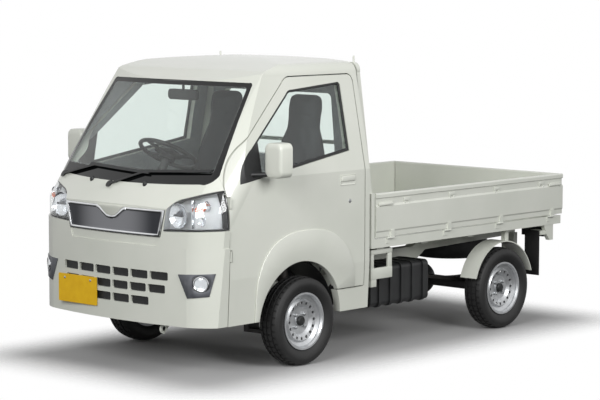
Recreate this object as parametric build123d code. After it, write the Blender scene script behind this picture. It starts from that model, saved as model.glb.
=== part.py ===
from build123d import *
import os
from math import cos, radians, sin, sqrt

# Kei truck with a drop-side bed.  Millimetres; the nose points to -Y, the truck's
# left side is +X, +Z is up and the ground is z = 0.

# Overall size and running gear
length = 3395.0
wheelbase = 1900.0
front_axle_y = -821.0
rear_axle_y = front_axle_y + wheelbase
track = 1304.0
tyre_radius = 262.0
tyre_width = 145.0
rim_radius = 168.5
bead_radius = 158.0
rim_width = 116.0
hub_bore = 20.3
axle_radius = 36.0
spindle_radius = 20.0
wheel_x = track / 2
wheel_z = tyre_radius
nose_y = -length / 2

# Clearances
seat_gap = 0.3
shut_gap = 7.0
swing_gap = 6.0

# Cab shape, seen from the front
sill_x = 706.0
sill_z = 284.0
crease_x = 732.0
crease_z = 806.0
belt_x = 726.0
belt_z = 1090.0
rail_x = 606.0
rail_z = 1690.0
roof_edge_x = 536.0
roof_edge_z = 1757.0
crown_z = 1786.0

# Cab shape, seen from the side
wall = 50.0
back_y = -256.0
back_bottom_z = 600.0
roof_rear = (-300.0, 1770.0)
roof_top = (-680.0, 1781.0)
roof_front = (-1040.0, 1720.0)
header_slope = 0.5
roof_split_z = 1662.0
header_bottom_z = 1600.0
screen_top_z = 1658.0
side_split_x = 540.0

# Windscreen: the middle of its top edge, its rake and its bow
screen_y = -1176.0
screen_z = 1651.0
screen_rake = 36.7
screen_half = 600.0
screen_bow = 55.0

# Nose in plan
nose_front_y = -1684.0
nose_half = 560.0
nose_bow = 53.0

# Bumper
bumper_front_y = nose_y + 6.0
bumper_top = 747.0
bumper_bottom = 302.0
bumper_wall = 40.0

# Doors and the front wheel arch
door_front_y = -1453.0
door_rear_y = -302.0
door_top_z = 1682.0
door_step_z = 300.0
door_rear_z = 424.0
arch_y = -855.0
arch_z = 268.0
arch_radius = 350.0
skin = 22.0
rebate = 14.0
hinge_x = 722.0
hinge_y = door_front_y + 5.0
hinge_radius = 6.0
hinge_heights = (700.0, 1000.0)
hinge_tall = 60.0
post_x = 658.0
post_wide = 36.0
post_top_z = 1040.0
glass = 4.5

# Cab inside
floor_z = 430.0
deck_z = 640.0
panel = 22.0
step_y = -1212.0
driver_x = -340.0

# Chassis
rail_centre_x = 345.0
rail_wide = 60.0
bed_mount_z = 620.0
gearbox_y = -420.0
gearbox_end_y = -60.0

# Load bed
bed_front_y = -240.0
bed_floor_z = 690.0
bed_half = 722.0
gate_top_z = 965.0
gate_bottom_z = 700.0
gate_outer = 731.0
gate_thick = 28.0
gate_axis = 730.5
gate_axis_z = 690.0
gate_barrel = 7.0
gate_front_y = -205.0
gate_rear_y = 1685.0
tail_outer_y = 1690.0
tail_axis_y = 1690.5
rail_bottom_z = 635.0

# Steering axis, leaning inwards at the top
kingpin_lean = 10.0
kingpin_x = 592.0
liner_x = 648.0


def outline(*stops):
    """Closed face; each stop is a corner, or (middle, end) of an arc."""
    edges = []
    here = stops[0]
    for stop in stops[1:] + (stops[0],):
        curved = isinstance(stop[0], tuple)
        end = stop[1] if curved else stop
        if curved:
            edges.append(ThreePointArc(here, stop[0], end))
        elif end != here:
            edges.append(Line(here, end))
        here = end
    return make_face(edges)


def along_x(face, start, end):
    return extrude(Plane.YZ.offset(start) * face, end - start)


def along_y(face, start, end):
    return extrude(Plane.XZ.offset(-end) * face, end - start)


def along_z(face, start, end):
    return extrude(Plane.XY.offset(start) * face, end - start)


def block(x0, x1, y0, y1, z0, z1):
    return Pos((x0 + x1) / 2, (y0 + y1) / 2, (z0 + z1) / 2) * Box(x1 - x0, y1 - y0, z1 - z0)


def rod_x(radius, start, end, y, z):
    return Pos((start + end) / 2, y, z) * Rot(0, 90, 0) * Cylinder(radius, end - start)


def rod_y(radius, start, end, x, z):
    return Pos(x, (start + end) / 2, z) * Rot(90, 0, 0) * Cylinder(radius, end - start)


def rod_z(radius, start, end, x, y):
    return Pos(x, y, (start + end) / 2) * Cylinder(radius, end - start)


def rod(radius, start, end):
    """Round bar between two points."""
    run = Vector(*end) - Vector(*start)
    return extrude(Plane(origin=start, z_dir=run) * Circle(radius), run.length)


def other_side(shape):
    return mirror(shape, about=Plane.YZ)


def group(*shapes):
    """Separate solids of one node."""
    return Compound([solid for shape in shapes for solid in shape.solids()])


def inset_face(face, inset):
    if inset == 0:
        return face
    return offset(face, -inset)


# Cab volume: what is left where four prisms cross, each moved in by the inset

far = 2200.0


def section_prism(inset):
    """Front view: tucked sill, crease, belt, leaning glass and crowned roof."""
    corner_x = (rail_x + roof_edge_x) / 2 + 16
    corner_z = (rail_z + roof_edge_z) / 2 + 10
    face = outline(
        (-sill_x, 100), (sill_x, 100), (sill_x, sill_z), (crease_x, crease_z),
        (belt_x, belt_z), (rail_x, rail_z),
        ((corner_x, corner_z), (roof_edge_x, roof_edge_z)),
        ((0, crown_z), (-roof_edge_x, roof_edge_z)),
        ((-corner_x, corner_z), (-rail_x, rail_z)),
        (-belt_x, belt_z), (-crease_x, crease_z), (-sill_x, sill_z))
    return along_y(inset_face(face, inset), -far, 200)


def roof_prism(inset):
    """Side view: back wall, roof arc and the header above the windscreen."""
    front_z = roof_front[1] + header_slope * (-far - roof_front[0])
    back_top = roof_rear[1] - 45
    face = outline(
        (-far, -200), (back_y, -200), (back_y, back_top),
        ((back_y - 12, roof_rear[1] - 14), roof_rear),
        (roof_top, roof_front), (-far, front_z))
    return along_x(inset_face(face, inset), -900, 900)


def nose_prism(inset):
    """Plan view: bowed nose with rounded corners."""
    side = 760.0
    front = nose_front_y + nose_bow
    face = outline(
        (-side, 200), (-side, -1380), ((-690, -1545), (-nose_half, front)),
        ((0, nose_front_y), (nose_half, front)),
        ((690, -1545), (side, -1380)), (side, 200))
    return along_z(inset_face(face, inset), -100, 2000)


screen_plane = Plane(
    origin=(0, screen_y, screen_z), x_dir=(1, 0, 0),
    z_dir=(0, -sin(radians(screen_rake)), -cos(radians(screen_rake))))


def screen_prism(inset):
    """Bowed windscreen whose ends turn round the pillars, swept along its rake."""
    side = 720.0
    face = outline(
        (-side, -far), (-side, -260), ((-690, -130), (-screen_half, -screen_bow)),
        ((0, 0), (screen_half, -screen_bow)),
        ((690, -130), (side, -260)), (side, -far))
    return extrude(screen_plane * inset_face(face, inset), 1500, both=True)


def cab_volume(inset):
    return section_prism(inset) & roof_prism(inset) & nose_prism(inset) & screen_prism(inset)


def door_outline():
    """Side view: up the front edge, along the pillar and roof, down and over the arch."""
    rear_run = sqrt(arch_radius ** 2 - (door_rear_z - arch_z) ** 2)
    front_run = sqrt(arch_radius ** 2 - (door_step_z - arch_z) ** 2)
    return outline(
        (door_front_y, door_step_z), (door_front_y, belt_z),
        ((-1398, 1212), (-1290, 1326)), (-915, 1650),
        ((-888, 1672), (-850, door_top_z)), (-346, door_top_z),
        ((door_rear_y - 13, door_top_z - 13), (door_rear_y, door_top_z - 44)),
        (door_rear_y, door_rear_z), (arch_y + rear_run, door_rear_z),
        ((arch_y, arch_z + arch_radius), (arch_y - front_run, door_step_z)))


def window_outline():
    """Side view of the door's window opening, with the mirror's corner in front."""
    return outline(
        (-414, 1236), (-1362, 1098), ((-1338, 1190), (-1246, 1290)), (-900, 1583),
        ((-872, 1605), (-838, 1610)), (-440, 1640), ((-423, 1634), (-414, 1616)))


def screen_outline():
    """Front view of the windscreen opening."""
    return outline(
        (-560, 1100), ((0, 1086), (560, 1100)), ((617, 1112), (640, 1150)), (575, 1630),
        ((566, 1652), (545, 1655)), ((0, screen_top_z), (-545, 1655)),
        ((-566, 1652), (-575, 1630)), (-640, 1150), ((-617, 1112), (-560, 1100)))


def rear_window_outline():
    return outline(
        (-440, 1170), (440, 1170), ((468, 1182), (480, 1210)), (450, 1530),
        ((438, 1552), (414, 1560)), (-414, 1560), ((-438, 1552), (-450, 1530)),
        (-480, 1210), ((-468, 1182), (-440, 1170)))


def lamp_outline():
    """Front view of the left headlamp, swept up towards the door."""
    return outline(
        (395, 834), (414, 940), ((446, 992), (500, 1020)), (800, 1104), (800, 850))


def grille_outline():
    return outline((-374, 801), (374, 801), (410, 955), (-410, 955))


skin_volume = cab_volume(0)
inner_volume = cab_volume(wall)
shell = skin_volume - inner_volume
door_prism = along_x(door_outline(), 400, 900)
door_opening = along_x(offset(door_outline(), shut_gap), 400, 900)
screen_opening = along_y(screen_outline(), -far, -900)
front_zone_y = door_front_y - shut_gap
front_zone_z = 1140.0


def sheet(outer_inset, inner_inset):
    return cab_volume(outer_inset) - cab_volume(inner_inset)


def cab_roof():
    """Roof skin with the header above the windscreen."""
    inner_back = back_y - wall
    zone = block(-side_split_x, side_split_x, -far, inner_back, header_bottom_z, 2000)
    zone += block(-side_split_x, side_split_x, inner_back, 0, roof_split_z, 2000)
    return (shell & zone) - screen_opening


def cab_back():
    zone = block(-side_split_x, side_split_x, back_y - wall, 0, back_bottom_z, roof_split_z)
    window = along_y(rear_window_outline(), back_y - 200, back_y + 200)
    return (shell & zone) - window


def cab_side():
    """Left body side: windscreen pillar, roof rail, rear pillar and sill in one piece."""
    zone = block(side_split_x, 900, -far, 0, sill_z, 2000)
    ring = (shell & zone) - door_opening - screen_opening
    ring -= block(0, 900, -far, front_zone_y + 1, 0, front_zone_z)
    ring -= block(0, 900, -far, arch_y, 0, floor_z)
    ring -= rod_x(arch_radius, 300, 900, arch_y, arch_z)
    ring = max(ring.solids(), key=lambda solid: solid.volume)
    return ring


def hinge_pillar():
    """Left pillar inside the nose that stands on the floor and carries the door's hinges."""
    post = block(post_x - post_wide, post_x, front_zone_y - 70, hinge_y + 3, floor_z, post_top_z)
    post &= cab_volume(wall + seat_gap)
    for height in hinge_heights:
        low = height - hinge_tall / 2
        high = height + hinge_tall / 2
        post += block(post_x - 20, hinge_x, hinge_y - 5, hinge_y + 3, low, high)
        post += rod_z(hinge_radius, low, high, hinge_x, hinge_y)
    return post


def cab_door():
    """Left door: a full outer skin with a smaller inner part, so that it swings clear."""
    outer = shell - cab_volume(skin)
    inner = cab_volume(skin) - inner_volume
    core = along_x(offset(door_outline(), -rebate), 400, 900)
    door = (outer & door_prism) + (inner & core)
    door -= along_x(window_outline(), 400, 900)
    for height in hinge_heights:
        low = height - hinge_tall / 2 - 4
        high = height + hinge_tall / 2 + 4
        door -= rod_z(hinge_radius + seat_gap, low, high, hinge_x, hinge_y)
        door -= block(hinge_x - 90, hinge_x, hinge_y - 20, hinge_y + 14, low, high)
    return door


def door_glass():
    pane = inset_face(window_outline(), seat_gap)
    zone = along_x(pane, 400, 900) & block(0, 900, -1196, 0, 1000, 1800)
    return sheet(skin - 8, skin - 8 + glass) & zone


def door_mirror():
    """Left mirror: corner panel in the window, stay and rounded housing."""
    pane = inset_face(window_outline(), seat_gap)
    corner = along_x(pane, 400, 900) & block(0, 900, -1500, -1197, 1000, 1500)
    corner = sheet(4, skin + 6) & corner
    stay = rod(13, (700, -1262, 1146), (790, -1200, 1150)) + rod(13, (790, -1200, 1138), (806, -1186, 1180))
    housing = along_y(RectangleRounded(130, 196, 34), -40, 40)
    housing = Pos(832, -1168, 1231) * housing
    return corner + stay + housing


# Front end


def front_panel():
    zone = block(-900, 900, -far, front_zone_y, bumper_top + seat_gap, front_zone_z)
    skin_part = (shell & zone) - screen_opening
    lamps = along_y(inset_face(lamp_outline(), -seat_gap), -far, 0)
    skin_part -= lamps
    skin_part -= other_side(lamps)
    skin_part -= along_y(inset_face(grille_outline(), -seat_gap), -far, -1500)
    return max(skin_part.solids(), key=lambda solid: solid.volume)


def windscreen():
    pane = inset_face(screen_outline(), seat_gap)
    return sheet(2, 2 + glass) & along_y(pane, -far, -900)


def rear_window():
    pane = along_y(inset_face(rear_window_outline(), seat_gap), back_y - 26, back_y - 26 + glass)
    return pane


def headlamps():
    lens = sheet(0, wall - 4) & along_y(lamp_outline(), -far, 0)
    lens &= block(0, 900, -far, front_zone_y, 0, 2000)
    return group(lens, other_side(lens))


def upper_grille():
    return sheet(-4, 30) & along_y(grille_outline(), -far, -1500)


def bumper_volume(inset):
    side = 760.0
    front = bumper_front_y + nose_bow
    face = outline(
        (-side, 200), (-side, -1380), ((-694, -1552), (-nose_half, front)),
        ((0, bumper_front_y), (nose_half, front)), ((694, -1552), (side, -1380)), (side, 200))
    return along_z(inset_face(face, inset), -100, 2000) & section_prism(inset)


grille_rows = (
    # height, half span, cells
    (580.0, 440.0, 6),
    (505.0, 420.0, 6),
    (430.0, 300.0, 4),
)
fog_x = 637.0
fog_z = 551.0
fog_radius = 46.0


def front_bumper():
    zone = block(-900, 900, -far, front_zone_y, bumper_bottom, bumper_top)
    bumper = (bumper_volume(0) - bumper_volume(bumper_wall)) & zone
    bar = 14.0
    for height, half_span, cells in grille_rows:
        pitch = 2 * half_span / cells
        for cell in range(cells):
            x = -half_span + pitch * (cell + 0.5)
            slot = along_y(RectangleRounded(pitch - bar, 48, 10), -far, -1500)
            bumper -= Pos(x, 0, height) * slot
    for x in (fog_x, -fog_x):
        bumper -= rod_y(fog_radius + seat_gap, -far, -1400, x, fog_z)
    return bumper


def fog_lamps():
    lamp = rod_y(fog_radius, -1650, -1560, fog_x, fog_z)
    lamp &= bumper_volume(4)
    return group(lamp, other_side(lamp))


plate_wide = 330.0
plate_tall = 165.0
plate_x = -283.0
plate_z = 446.0


def number_plate():
    plate = along_y(RectangleRounded(plate_wide, plate_tall, 8), nose_y, nose_y + 3)
    plate = Pos(plate_x, 0, plate_z) * plate
    holder = block(plate_x - 120, plate_x + 120, nose_y + 3, nose_y + 60, plate_z + 10, plate_z + 40)
    return plate + (holder - bumper_volume(-seat_gap))


wiper_lines = (
    # pivot, arm's end, blade's end, each across and up in the front view
    ((-575.0, 1096.0), (-293.0, 1167.0), (180.0, 1148.0)),
    ((-95.0, 1071.0), (152.0, 1155.0), (597.0, 1177.0)),
)
wiper_deep = 14.0


def strip(start, end, wide):
    """Face of a straight bar of this width between two points."""
    run = Vector(end[0] - start[0], end[1] - start[1])
    bar = Pos(*start) * Rot(0, 0, run.get_signed_angle(Vector(1, 0), Vector(0, 0, -1)))
    return bar * Pos(run.length / 2, 0) * Rectangle(run.length, wide)


def wipers():
    """Two arms lying on the glass, each with its blade, and their pivots on the cowl."""
    layer = sheet(-wiper_deep, -seat_gap)
    parts = []
    for pivot, elbow, tip in wiper_lines:
        face = strip(pivot, elbow, 12) + Pos(*pivot) * Circle(17)
        lead = (elbow[0] - 0.12 * (tip[0] - elbow[0]), elbow[1] - 0.12 * (tip[1] - elbow[1]))
        face += strip(lead, tip, 15)
        parts.append(layer & along_y(face, -far, -1300))
    return group(*parts)


# Cab inside


def cab_floor():
    """Toe board, footwell, heel step and seat deck as one bent plate."""
    rear = back_y - wall
    plate = outline(
        (-1600, 700), (-1540, floor_z), (step_y, floor_z), (step_y + 30, deck_z), (rear, deck_z),
        (rear, deck_z - panel), (step_y + 55, deck_z - panel), (step_y + 25, floor_z - panel),
        (-1560, floor_z - panel), (-1622, 700))
    return along_x(plate, -900, 900) & cab_volume(wall + swing_gap)


def dashboard():
    face = outline(
        (-1640, 1010), ((-1520, 1080), (-1400, 1085)), (-1270, 1072), ((-1225, 1050), (-1228, 1010)),
        (-1260, 880), (-1300, 800), (-1640, 800))
    half = post_x - post_wide - seat_gap
    return along_x(face, -half, half) & cab_volume(wall + 2 * swing_gap)


seat_places = (330.0, -330.0)


def seat(x):
    """Cushion, reclined back and head restraint, as plain pads."""
    half = 225.0
    side = outline(
        (-960, deck_z), (-960, 770), ((-950, 806), (-915, 812)), (-570, 786), (-452, 1380),
        (-446, 1410), (-440, 1570), ((-430, 1596), (-405, 1600)), ((-350, 1594), (-338, 1560)),
        (-336, 1400), (-330, deck_z))
    return along_x(side, x - half, x + half)


column_top = (driver_x, -920.0, 1150.0)
column_foot = (driver_x, -1352.0, floor_z)
wheel_rim = 182.0


def steering_axis():
    return (Vector(*column_top) - Vector(*column_foot)).normalized()


def steering_column():
    axis = steering_axis()
    top = Vector(*column_top) - axis * seat_gap
    shaft = rod(26, tuple(Vector(*column_foot) - axis * 60), tuple(top))
    shaft &= block(-900, 900, -far, 0, floor_z, 2000)
    return group(shaft - dashboard())


def steering_wheel():
    plane = Plane(origin=column_top, x_dir=(1, 0, 0), z_dir=tuple(steering_axis()))
    rim = plane * (Pos(0, 0, 40) * Torus(wheel_rim, 13))
    hub = extrude(plane * Circle(52), 36)
    spokes = hub
    for angle in (0, 180, 270):
        arm = Rot(0, 0, angle) * Pos(wheel_rim / 2, 0, 30) * Box(wheel_rim - 8, 34, 10)
        spokes += plane * arm
    return spokes + rim


# Running gear


def tyre_ring():
    """One tyre about the X axis, from bead to bead."""
    half = tyre_width / 2
    bead = rim_width / 2 - 8
    face = outline(
        (-bead, bead_radius + seat_gap), (-bead, rim_radius + 2),
        ((-half, (rim_radius + tyre_radius) / 2), (-half + 14, tyre_radius - 9)),
        ((0, tyre_radius), (half - 14, tyre_radius - 9)),
        ((half, (rim_radius + tyre_radius) / 2), (bead, rim_radius + 2)),
        (bead, bead_radius + seat_gap))
    return revolve(Plane.XZ * face, Axis.X)


vent_holes = 16
vent_ring = 105.0
vent_radius = 9.0


def rim_disc():
    """Pressed steel wheel with hub, outside towards +X."""
    half = rim_width / 2
    flange = half - 6
    face = outline(
        (half, rim_radius), (half, bead_radius), (half - 12, 150), (38, 150), (30, 133.5), (27, 128),
        (38, 116), (34, 94), (18, 78), (16, 34), (22, 32), (22, hub_bore), (-12, hub_bore), (-12, 50),
        (8, 50), (9, 78), (26, 96), (30, 112), (20, 126), (18, 133.5), (-18, 133.5), (-28, 150),
        (-half, 150), (-half, rim_radius), (-flange, rim_radius), (-flange, bead_radius),
        (-27, bead_radius), (-17, 141), (24, 141), (34, bead_radius), (flange, bead_radius),
        (flange, rim_radius))
    wheel = revolve(Plane.XZ * face, Axis.X)
    hole = Pos(32, 0, vent_ring) * Rot(0, 90, 0) * Cylinder(vent_radius, 40)
    for number in range(vent_holes):
        wheel -= Rot(360 / vent_holes * number, 0, 0) * hole
    return wheel


kingpin_axis = Vector(-sin(radians(kingpin_lean)), 0, cos(radians(kingpin_lean)))
kingpin_centre = Vector(kingpin_x, front_axle_y, wheel_z)


def kingpin_at(rise):
    """Point on the left steering axis, this far above the wheel's centre along it."""
    return tuple(kingpin_centre + kingpin_axis * rise)


ball_joint = -76.0
strut_top = 330.0
strut_foot = (wheel_x - 110, front_axle_y, 290)
strut_radius = 22.0
spring_radius = 30.0


def knuckle():
    """Left steering knuckle: spindle, brake back plate, upright and steering arm."""
    x = wheel_x
    body = rod_x(spindle_radius, x - 60, x + 14, front_axle_y, wheel_z)
    body += rod_x(70, x - 42, x - 18, front_axle_y, wheel_z)
    body += block(x - 74, x - 40, front_axle_y - 32, front_axle_y + 32, 206, 345)
    body += rod(19, kingpin_at(ball_joint), kingpin_at(ball_joint + 40))
    body += block(x - 74, x - 50, front_axle_y + 30, front_axle_y + 130, 240, 262)
    clamp = block(strut_foot[0] - 32, x - 70, front_axle_y - 30, front_axle_y + 30, 296, 340)
    return body + (clamp - rod(strut_radius + seat_gap, strut_foot, kingpin_at(strut_top)))


def strut():
    """Left strut: damper, spring and the top bearing on the steering axis."""
    foot = Vector(*strut_foot)
    top = Vector(*kingpin_at(strut_top))
    run = (top - foot).normalized()
    spring_foot = foot + run * 160
    body = rod(strut_radius, strut_foot, tuple(top - run * 12))
    body += rod(spring_radius + 4, tuple(spring_foot), tuple(spring_foot + run * 8))
    body += rod(spring_radius, tuple(spring_foot + run * 8), tuple(top - run * 14))
    body += rod(36, kingpin_at(strut_top - 16), kingpin_at(strut_top))
    return body


def wheel_liner():
    """Left wheel-house liner under the seat deck, carrying the strut's top mount."""
    outer = deck_z - panel - arch_z - seat_gap
    ring = rod_x(outer, 400, liner_x, arch_y, arch_z) - rod_x(outer - 6, 300, 800, arch_y, arch_z)
    ring &= block(0, 900, -far, 0, arch_z + 24, 900)
    mount = rod(42, kingpin_at(strut_top + seat_gap), kingpin_at(strut_top + 40))
    return ring + (mount & rod_x(outer - 1, 400, liner_x, arch_y, arch_z))


def front_suspension():
    """Cross member with the steering rack, lower arms and the struts' top mounts."""
    y = front_axle_y
    frame = block(-300, 300, y - 50, y + 50, 236, 330)
    rail_foot = frame_levels(y)[0]
    tower = block(280, rail_centre_x + rail_wide / 2, y - 50, y + 50, 300, rail_foot)
    frame += tower + other_side(tower)
    frame += rod_x(28, -380, 380, y + 110, 250)
    frame += block(-60, 60, y + 40, y + 110, 236, 266)
    for mirrored in (False, True):
        end = Vector(*kingpin_at(ball_joint - seat_gap))
        low = Vector(*kingpin_at(ball_joint - 26))
        arm = rod(19, tuple(low), tuple(end))
        arm += along_z(outline((290, y - 46), (290, y + 46), (low.X + 10, y + 18), (low.X + 10, y - 18)),
                       low.Z - 4, low.Z + 18)
        arm += block(262, 300, y - 46, y + 46, low.Z - 4, 250)
        frame += other_side(arm) if mirrored else arm
    return frame


diff_nose = 160.0
tank_wide = 230.0


def rear_axle():
    """Live axle: tube, differential and brake drums, with the spindles."""
    y = rear_axle_y
    beam = rod_x(axle_radius, -wheel_x + 40, wheel_x - 40, y, wheel_z)
    beam += Pos(0, y, wheel_z) * Sphere(112)
    beam += rod_y(44, y - diff_nose, y, 0, wheel_z)
    for side in (1, -1):
        near = sorted((side * (wheel_x - 62), side * (wheel_x - 18)))
        stub = sorted((side * (wheel_x - 30), side * (wheel_x + 14)))
        beam += rod_x(108, near[0], near[1], y, wheel_z)
        beam += rod_x(spindle_radius, stub[0], stub[1], y, wheel_z)
    return beam


spring_x = 400.0
spring_wide = 50.0
spring_half = 500.0
spring_thick = 24.0
spring_end = 14.0
spring_rise = 70.0


def leaf_spring():
    """Left leaf spring lying over the axle tube."""
    y = rear_axle_y
    low = wheel_z + axle_radius + seat_gap
    tip = low + spring_rise
    face = outline(
        (y - spring_half, tip), ((y, low), (y + spring_half, tip)),
        (y + spring_half, tip + spring_end), ((y, low + spring_thick), (y - spring_half, tip + spring_end)))
    return along_x(face, spring_x - spring_wide / 2, spring_x + spring_wide / 2)


frame_line = (
    # along the truck, underside, top
    (-1560.0, 318.0, 392.0),
    (-1190.0, 318.0, 392.0),
    (-1040.0, 360.0, 452.0),
    (-260.0, 360.0, 452.0),
    (-150.0, 440.0, 550.0),
    (560.0, 440.0, 550.0),
    (690.0, 520.0, 620.0),
    (1640.0, 540.0, 620.0),
)
frame_posts = (
    # along the truck, top
    (-1400.0, floor_z - panel),
    (-345.0, deck_z - panel),
    (-120.0, bed_mount_z),
    (300.0, bed_mount_z),
)
eye_radius = 16.0
eye_thick = 12.0
eye_places = (
    # hole's place along the truck, its height, where the plate meets the rail, which way it points
    (-1606.0, 270.0, -1540.0, -1),
    (1662.0, 512.0, 1620.0, 1),
)
member_places = (-1500.0, 20.0, 380.0, 1000.0, 1330.0, 1600.0)


def chassis_rail():
    """Left rail, kicked up over the axle, with its cab and bed posts and spring hangers."""
    lower = [(y, low) for y, low, high in frame_line]
    upper = [(y, high) for y, low, high in reversed(frame_line)]
    x = rail_centre_x
    rail = along_x(outline(*lower, *upper), x - rail_wide / 2, x + rail_wide / 2)
    for y, top in frame_posts:
        high = frame_levels(y)[1]
        rail += block(x - 25, x + 25, y - 30, y + 30, high - 5, top)
    hanger_z = wheel_z + axle_radius + spring_rise + spring_end + 2 * seat_gap
    for y in (rear_axle_y - spring_half, rear_axle_y + spring_half):
        rail += block(x - 20, spring_x + 25, y - 20, y + 20, hanger_z, frame_levels(y)[0] + 20)
    return rail


def chassis_rails():
    """Both rails; the left one carries the towing plates."""
    left = chassis_rail()
    right = other_side(left)
    for y, z, root_y, way in eye_places:
        left += tow_eye(y, z, root_y, way)
    return group(left, right)


def cross_members():
    half = rail_centre_x - rail_wide / 2
    bars = []
    for y in member_places:
        high = frame_levels(y)[1]
        bars.append(block(-half, half, y - 30, y + 30, high - 60, high - 6))
    return group(*bars)


def tow_eye(y, z, root_y, way):
    """Towing plate with its hole, on the end of the left rail."""
    low, high = frame_levels(root_y)
    rim_wide = eye_radius + 13
    tip = outline(
        (root_y, high - 10), (root_y, low), (y, z - rim_wide), ((y + way * rim_wide, z), (y, z + rim_wide)),
        (root_y + way * 30, high - 10))
    plate = along_x(tip, rail_centre_x - eye_thick / 2, rail_centre_x + eye_thick / 2)
    return plate - rod_x(eye_radius, 0, 900, y, z)


def frame_levels(y):
    """Underside and top of the rails at a place along the truck."""
    for (y0, low0, high0), (y1, low1, high1) in zip(frame_line, frame_line[1:]):
        if y0 <= y <= y1:
            share = (y - y0) / (y1 - y0)
            return low0 + share * (low1 - low0), high0 + share * (high1 - high0)
    return frame_line[-1][1:]


def engine_block():
    return block(-230, 230, -1000, gearbox_y, 334, 600)


def engine():
    """Plain block under the seats, on mounts between the rails, with its gearbox behind."""
    inner = rail_centre_x - rail_wide / 2
    mounts = block(-inner, inner, -560, -500, 380, 440)
    bell = extrude(Plane((0, gearbox_y, 350), x_dir=(1, 0, 0), z_dir=(0, 1, 0)) * Circle(115), 90)
    return engine_block() + mounts + bell + rod_y(78, gearbox_y + 80, gearbox_end_y, 0, 345)


def propeller_shaft():
    nose = rear_axle_y - diff_nose
    shaft = rod(32, (0, gearbox_end_y - 40, 348), (0, nose + 40, wheel_z - 2))
    return shaft & block(-100, 100, gearbox_end_y, nose, 100, 600)


def fuel_tank():
    """Left tank against the frame rail, with pressed ribs."""
    inner = rail_centre_x + rail_wide / 2
    face = RectangleRounded(tank_wide, 250, 30)
    tank = Pos(inner + tank_wide / 2, 0, 375) * along_y(face, -110, 440)
    tank += block(inner, inner + 40, -80, 400, 440, 498)
    for y in (-30, 75, 180, 285, 390):
        rib = along_y(RectangleRounded(tank_wide + 10, 260, 34), y - 12, y + 12)
        tank += Pos(inner + tank_wide / 2 + 5, 0, 375) * rib
    return tank & block(inner, 900, -far, far, 0, 900)


def exhaust():
    """Front pipe, silencer hung on the right rail and tail pipe over the axle."""
    x = -rail_centre_x - rail_wide / 2 - 86
    z = 380.0
    bend = (-300, -450, 310)
    pipe = rod(20, (-215, -600, 350), bend) + rod(20, bend, (x, 90, z)) + Pos(*bend) * Sphere(20)
    silencer = rod_y(74, 80, 500, x, z)
    tail = rod_y(20, 490, 1600, x, z)
    hanger = block(x - 12, -rail_centre_x - rail_wide / 2, 300, 330, z + 60, 500)
    pipe -= engine_block()
    return pipe + silencer + tail + hanger


spare_y = 1400.0
spare_z = 460.0


def spare_wheel():
    """Spare lying under the tail, hung from a cross member."""
    flat = Rot(0, -90, 0)
    spare = Pos(0, spare_y, spare_z) * flat * (tyre_ring() + rod_x(bead_radius + 4, -20, 14, 0, 0))
    low, high = frame_levels(1330.0)
    return spare + block(-25, 25, 1315, 1345, spare_z, high - 60)


# Load bed


def bed_floor():
    """Floor plate with its side and end rails and the cross bearers under it."""
    rear = tail_outer_y - gate_thick - 4
    floor = block(-bed_half, bed_half, bed_front_y, rear, bed_floor_z - 22, bed_floor_z)
    for side in (1, -1):
        near = sorted((side * (bed_half - 32), side * bed_half))
        floor += block(near[0], near[1], bed_front_y, rear, rail_bottom_z, bed_floor_z)
    for y in (-120.0, 300.0, 760.0, 1160.0, 1560.0):
        floor += block(-bed_half + 32, bed_half - 32, y - 30, y + 30, bed_mount_z, bed_floor_z - 22)
    floor += block(-bed_half, bed_half, rear, tail_axis_y - 14, rail_bottom_z, bed_floor_z)
    return floor + rear_bracket() + other_side(rear_bracket())


def gate_section(outer):
    """Gate seen on end: rolled top, recessed band, raised panel and turned foot."""
    inner = outer - gate_thick
    top = gate_top_z
    return outline(
        (inner, gate_bottom_z), (outer - 5, gate_bottom_z), (outer - 5, 728), (outer, 738),
        (outer, 884), (outer - 10, 896), (outer - 10, 932), (outer, 938), (outer, top - 8),
        ((outer - 3, top - 3), (outer - 8, top)), (inner + 8, top), ((inner + 3, top - 3), (inner, top - 8)))


def gate(outer, axis_out, start, end):
    """Gate on the +X side of the bed with its hinge knuckles."""
    panel_part = along_y(gate_section(outer), start, end)
    for y in gate_hinges(start, end):
        panel_part += rod_y(gate_barrel, y + seat_gap, y + 32, axis_out, gate_axis_z)
        panel_part += block(outer - 5, axis_out + 5, y + seat_gap, y + 32, gate_axis_z, 738)
    return panel_part


def gate_hinges(start, end):
    return [start + share * (end - start) for share in (0.07, 0.36, 0.64, 0.93)]


def hinge_barrels(face_x, axis_out, start, end):
    """Fixed half of a gate's hinges on the bed's rail."""
    parts = []
    for y in gate_hinges(start, end):
        barrel = rod_y(gate_barrel, y - 32, y, axis_out, gate_axis_z)
        barrel += block(face_x, axis_out - 3.5, y - 32, y, gate_axis_z - 32, gate_axis_z)
        parts.append(barrel)
    return parts


quarter = Rot(0, 0, 90)
tail_half = gate_outer - gate_thick - swing_gap


def bed_hinges():
    side = hinge_barrels(bed_half, gate_axis, gate_front_y, gate_rear_y)
    tail = hinge_barrels(tail_axis_y - 14, tail_axis_y, -tail_half, tail_half)
    return group(*side, *[other_side(part) for part in side], *[quarter * part for part in tail])


guard_deep = 30.0


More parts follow.
